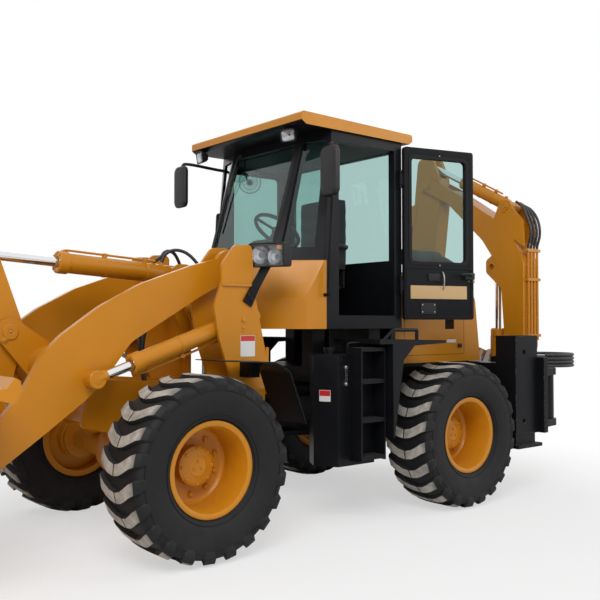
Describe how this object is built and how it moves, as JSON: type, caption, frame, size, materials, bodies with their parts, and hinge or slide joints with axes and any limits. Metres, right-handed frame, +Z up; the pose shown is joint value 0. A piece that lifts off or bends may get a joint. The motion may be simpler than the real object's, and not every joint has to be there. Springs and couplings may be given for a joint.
{
  "type": "backhoe loader",
  "caption": "Articulated backhoe loader: front loader bucket on a Z-bar linkage, glazed cab with doors, rear hood, sliding stabilised rear frame with a slewing digger arm.",
  "frame": {"origin": "centre of the machine's bounding box on the ground, under the tyres", "axes": "+X forward towards the loader bucket, +Y to the left, +Z up"},
  "size_m": [6.4266, 2.24, 3.06],
  "materials": {
    "black_paint": "satin",
    "yellow_paint": "gloss",
    "chrome_rod": "polished",
    "tyre": "matte",
    "glass": "clear",
    "hose": "satin",
    "engine_iron": "rough",
    "seat": "matte",
    "console": "matte"
  },
  "bodies": {
    "chassis": {"rear_chassis": "black_paint", "rear_axle": "yellow_paint", "engine_block": "engine_iron", "hood": "yellow_paint", "exhaust_and_lamp": "black_paint", "cab_frame": "black_paint", "cab_glass": "glass", "cab_roof": "yellow_paint", "operator_seat": "seat", "control_console": "console", "mirrors_and_rails": "black_paint", "step_tanks": "black_paint", "rear_mudguards": "black_paint", "slide_frame": "black_paint"},
    "front_body": {"front_frame": "yellow_paint", "front_axle": "yellow_paint", "front_mudguards": "black_paint", "headlamps": "black_paint"},
    "wheel_front_left": {"front_left_tyre": "tyre", "front_left_rim": "yellow_paint"},
    "wheel_front_right": {"front_right_tyre": "tyre", "front_right_rim": "yellow_paint"},
    "wheel_rear_left": {"rear_left_tyre": "tyre", "rear_left_rim": "yellow_paint"},
    "wheel_rear_right": {"rear_right_tyre": "tyre", "rear_right_rim": "yellow_paint"},
    "arms": {"loader_arms": "yellow_paint"},
    "lever": {"bellcrank": "yellow_paint"},
    "link": {"bucket_link": "yellow_paint"},
    "bucket": {"loader_bucket": "yellow_paint"},
    "lift_tubes": {"lift_barrels": "yellow_paint"},
    "lift_pistons": {"lift_rods": "chrome_rod"},
    "tilt_tube": {"tilt_barrel": "yellow_paint"},
    "tilt_piston": {"tilt_rod": "chrome_rod"},
    "left_door": {"door_left": "black_paint", "door_glass_left": "glass"},
    "right_door": {"door_right": "black_paint", "door_glass_right": "glass"},
    "leg_left": {"stabiliser_left": "black_paint"},
    "leg_right": {"stabiliser_right": "black_paint"},
    "side_carriage": {"carriage": "black_paint"},
    "slew_post": {"kingpost": "black_paint", "slew_hoses": "hose"},
    "hoe_boom": {"boom": "yellow_paint", "boom_hoses": "hose"},
    "boom_tube": {"boom_barrel": "yellow_paint"},
    "boom_piston": {"boom_rod": "chrome_rod"},
    "hoe_stick": {"stick": "yellow_paint"},
    "stick_tube": {"stick_barrel": "yellow_paint"},
    "stick_piston": {"stick_rod": "chrome_rod"},
    "hoe_rocker": {"rocker": "yellow_paint"},
    "hoe_bucket_link": {"hoe_link": "yellow_paint"},
    "digging_bucket": {"hoe_bucket": "yellow_paint"},
    "hoe_bucket_tube": {"hoe_bucket_barrel": "yellow_paint"},
    "hoe_bucket_piston": {"hoe_bucket_rod": "chrome_rod"}
  },
  "joints": [
    {"name": "articulation", "type": "hinge", "parent": "chassis", "child": "front_body", "pos_m": [-0.503, 0, 0.75], "axis": [0, 0, 1], "range_deg": [-30, 30]},
    {"name": "wheel_spin_front_left", "type": "hinge", "parent": "front_body", "child": "wheel_front_left", "pos_m": [0.672, 0.895, 0.555], "axis": [0, 1, 0], "continuous": true},
    {"name": "wheel_spin_front_right", "type": "hinge", "parent": "front_body", "child": "wheel_front_right", "pos_m": [0.672, -0.895, 0.555], "axis": [0, 1, 0], "continuous": true},
    {"name": "wheel_spin_rear_left", "type": "hinge", "parent": "chassis", "child": "wheel_rear_left", "pos_m": [-1.678, 0.895, 0.555], "axis": [0, 1, 0], "continuous": true},
    {"name": "wheel_spin_rear_right", "type": "hinge", "parent": "chassis", "child": "wheel_rear_right", "pos_m": [-1.678, -0.895, 0.555], "axis": [0, 1, 0], "continuous": true},
    {"name": "loader_lift", "type": "hinge", "parent": "front_body", "child": "arms", "pos_m": [0.172, 0, 1.81], "axis": [0, -1, 0], "range_deg": [0, 75]},
    {"name": "loader_tilt", "type": "hinge", "parent": "arms", "child": "bucket", "pos_m": [2.072, 0, 0.38], "axis": [0, 1, 0], "range_deg": [-12, 106]},
    {"name": "lever_pivot", "type": "hinge", "parent": "arms", "child": "lever", "pos_m": [1.522, 0, 1.36], "axis": [0, -1, 0], "range_deg": [-3.5, 26]},
    {"name": "link_pivot", "type": "hinge", "parent": "lever", "child": "link", "pos_m": [1.722, 0, 0.45], "axis": [0, -1, 0], "range_deg": [-88, 11]},
    {"name": "lift_tube_pivot", "type": "hinge", "parent": "front_body", "child": "lift_tubes", "pos_m": [0.072, 0, 1.46], "axis": [0, -1, 0], "range_deg": [-1, 67]},
    {"name": "lift_stroke", "type": "slide", "parent": "lift_tubes", "child": "lift_pistons", "axis": [0.9463, 0, -0.3234], "range_m": [-0.005, 0.39]},
    {"name": "tilt_tube_pivot", "type": "hinge", "parent": "front_body", "child": "tilt_tube", "pos_m": [0.302, 0, 1.755], "axis": [0, -1, 0], "range_deg": [-1, 79]},
    {"name": "tilt_stroke", "type": "slide", "parent": "tilt_tube", "child": "tilt_piston", "axis": [0.998, 0, 0.0626], "range_m": [-0.225, 0.03]},
    {"name": "door_left_hinge", "type": "hinge", "parent": "chassis", "child": "left_door", "pos_m": [-1.298, 0.714, 1.5], "axis": [0, 0, 1], "range_deg": [-164, 0]},
    {"name": "door_right_hinge", "type": "hinge", "parent": "chassis", "child": "right_door", "pos_m": [-1.298, -0.714, 1.5], "axis": [0, 0, -1], "range_deg": [0, 164]},
    {"name": "leg_left_drop", "type": "slide", "parent": "chassis", "child": "leg_left", "axis": [0, 0, -1], "range_m": [0, 0.36]},
    {"name": "leg_right_drop", "type": "slide", "parent": "chassis", "child": "leg_right", "axis": [0, 0, -1], "range_m": [0, 0.36]},
    {"name": "side_shift", "type": "slide", "parent": "chassis", "child": "side_carriage", "axis": [0, -1, 0], "range_m": [0, 1.5]},
    {"name": "slew", "type": "hinge", "parent": "side_carriage", "child": "slew_post", "pos_m": [-2.938, 0.87, 0.76], "axis": [0, 0, -1], "range_deg": [0, 180]},
    {"name": "hoe_boom_lower", "type": "hinge", "parent": "slew_post", "child": "hoe_boom", "pos_m": [-2.938, 0.6, 0.88], "axis": [1, 0, 0], "range_deg": [0, 100]},
    {"name": "boom_tube_pivot", "type": "hinge", "parent": "slew_post", "child": "boom_tube", "pos_m": [-2.938, 0.39, 0.62], "axis": [1, 0, 0], "range_deg": [-1, 100]},
    {"name": "boom_stroke", "type": "slide", "parent": "boom_tube", "child": "boom_piston", "axis": [0, 0.0076, 1], "range_m": [-0.515, 0.005]},
    {"name": "hoe_stick_out", "type": "hinge", "parent": "hoe_boom", "child": "hoe_stick", "pos_m": [-2.938, -0.38, 2.78], "axis": [-1, 0, 0], "range_deg": [0, 90]},
    {"name": "stick_tube_pivot", "type": "hinge", "parent": "hoe_boom", "child": "stick_tube", "pos_m": [-2.938, 0.56, 2.47], "axis": [-1, 0, 0], "range_deg": [-1, 0.5]},
    {"name": "stick_stroke", "type": "slide", "parent": "stick_tube", "child": "stick_piston", "axis": [0, -0.8796, 0.4757], "range_m": [-0.32, 0.005]},
    {"name": "hoe_bucket_open", "type": "hinge", "parent": "hoe_stick", "child": "digging_bucket", "pos_m": [-2.938, -0.48, 1.33], "axis": [-1, 0, 0], "range_deg": [0, 125]},
    {"name": "rocker_pivot", "type": "hinge", "parent": "hoe_stick", "child": "hoe_rocker", "pos_m": [-2.938, -0.47, 1.63], "axis": [-1, 0, 0], "range_deg": [-1, 69]},
    {"name": "hoe_link_pivot", "type": "hinge", "parent": "hoe_rocker", "child": "hoe_bucket_link", "pos_m": [-2.938, -0.691, 1.34], "axis": [-1, 0, 0], "range_deg": [-46, 1]},
    {"name": "hoe_bucket_tube_pivot", "type": "hinge", "parent": "hoe_stick", "child": "hoe_bucket_tube", "pos_m": [-2.938, -0.69, 2.5], "axis": [-1, 0, 0], "range_deg": [-0.5, 10]},
    {"name": "hoe_bucket_stroke", "type": "slide", "parent": "hoe_bucket_tube", "child": "hoe_bucket_piston", "axis": [0, -0.0009, -1], "range_m": [-0.385, 0.005]}
  ],
  "couplings": [
    {"joint": "lever_pivot", "follows": "loader_tilt", "ratio": 0.238},
    {"joint": "link_pivot", "follows": "loader_tilt", "ratio": -0.815},
    {"joint": "lift_tube_pivot", "follows": "loader_lift", "ratio": 0.8763},
    {"joint": "lift_stroke", "follows": "loader_lift", "m_per_rad": 0.2943},
    {"joint": "tilt_tube_pivot", "follows": "loader_lift", "ratio": 1.038},
    {"joint": "tilt_stroke", "follows": "loader_tilt", "m_per_rad": -0.118},
    {"joint": "boom_tube_pivot", "follows": "hoe_boom_lower", "ratio": 0.9903},
    {"joint": "boom_stroke", "follows": "hoe_boom_lower", "m_per_rad": -0.2932},
    {"joint": "stick_tube_pivot", "follows": "hoe_stick_out", "ratio": -0.01},
    {"joint": "stick_stroke", "follows": "hoe_stick_out", "m_per_rad": -0.1996},
    {"joint": "rocker_pivot", "follows": "hoe_bucket_open", "ratio": 0.547},
    {"joint": "hoe_link_pivot", "follows": "hoe_bucket_open", "ratio": -0.365},
    {"joint": "hoe_bucket_tube_pivot", "follows": "hoe_bucket_open", "ratio": 0.0765},
    {"joint": "hoe_bucket_stroke", "follows": "hoe_bucket_open", "m_per_rad": -0.1731}
  ]
}
